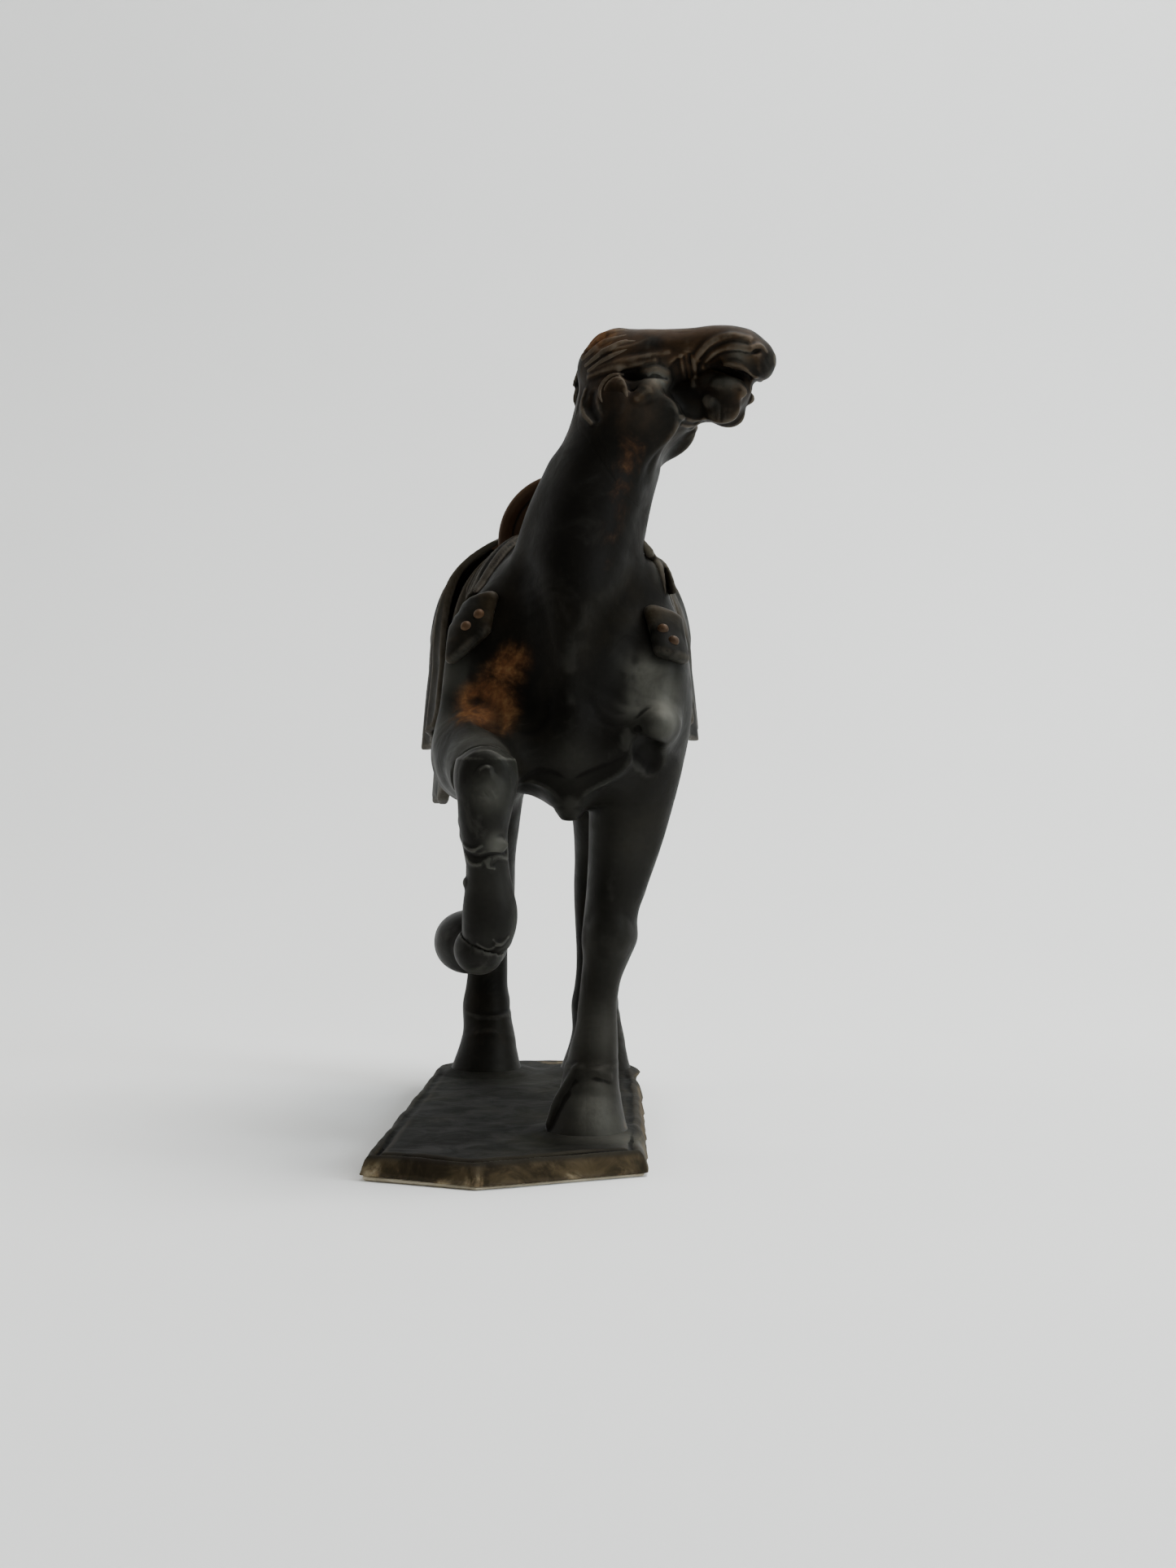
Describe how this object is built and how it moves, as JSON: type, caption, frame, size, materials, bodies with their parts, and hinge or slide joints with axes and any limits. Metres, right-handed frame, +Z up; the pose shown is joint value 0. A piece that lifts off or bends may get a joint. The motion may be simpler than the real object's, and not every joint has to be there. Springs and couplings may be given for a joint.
{
  "type": "horse statuette",
  "caption": "Saddled horse statuette with one raised foreleg and a turned head, standing on an irregular slab base; a desk or shelf ornament.",
  "frame": {"origin": "centre of the underside of the base", "axes": "+Z up; the horse faces -Y; +X is the horse's left side"},
  "size_m": [0.1203, 0.2258, 0.2534],
  "materials": {
    "base_felt": "pale pressed felt",
    "base_bronze": "dark brown patina, worn ochre along the edges",
    "hardware_steel": "plain steel",
    "body_bronze": "black-brown patina, satin, brown where rubbed",
    "head_bronze": "dark patina with warm brown breaking through",
    "grey_bronze": "greenish-grey, rougher patina",
    "saddle_bronze": "golden-brown mottled patina",
    "cloth_bronze": "black-brown patina, grey on rubbed pleats"
  },
  "bodies": {
    "root": {"base_pad": "base_felt", "base_slab": "base_bronze", "base_screws": "hardware_steel", "base_washers": "hardware_steel", "torso": "body_bronze", "neck": "body_bronze", "neck_pins": "hardware_steel", "head": "head_bronze", "ear_left": "head_bronze", "ear_right": "head_bronze", "forelock": "head_bronze", "mane": "body_bronze", "tail": "body_bronze", "foreleg_left": "body_bronze", "foreleg_right_forearm": "body_bronze", "foreleg_right_cannon": "grey_bronze", "foreleg_right_hoof": "grey_bronze", "hindleg_left": "body_bronze", "hindleg_right": "body_bronze", "leg_dowels": "hardware_steel", "raised_leg_dowels": "hardware_steel", "saddle_blanket": "cloth_bronze", "saddle_seat": "saddle_bronze", "saddle_pommel": "saddle_bronze", "saddle_cantle": "saddle_bronze", "saddle_pins": "hardware_steel", "saddle_cloth": "cloth_bronze", "withers_cloth": "cloth_bronze", "shoulder_flap_left": "cloth_bronze", "shoulder_flap_right": "cloth_bronze", "shoulder_bosses": "saddle_bronze"}
  },
  "joints": []
}
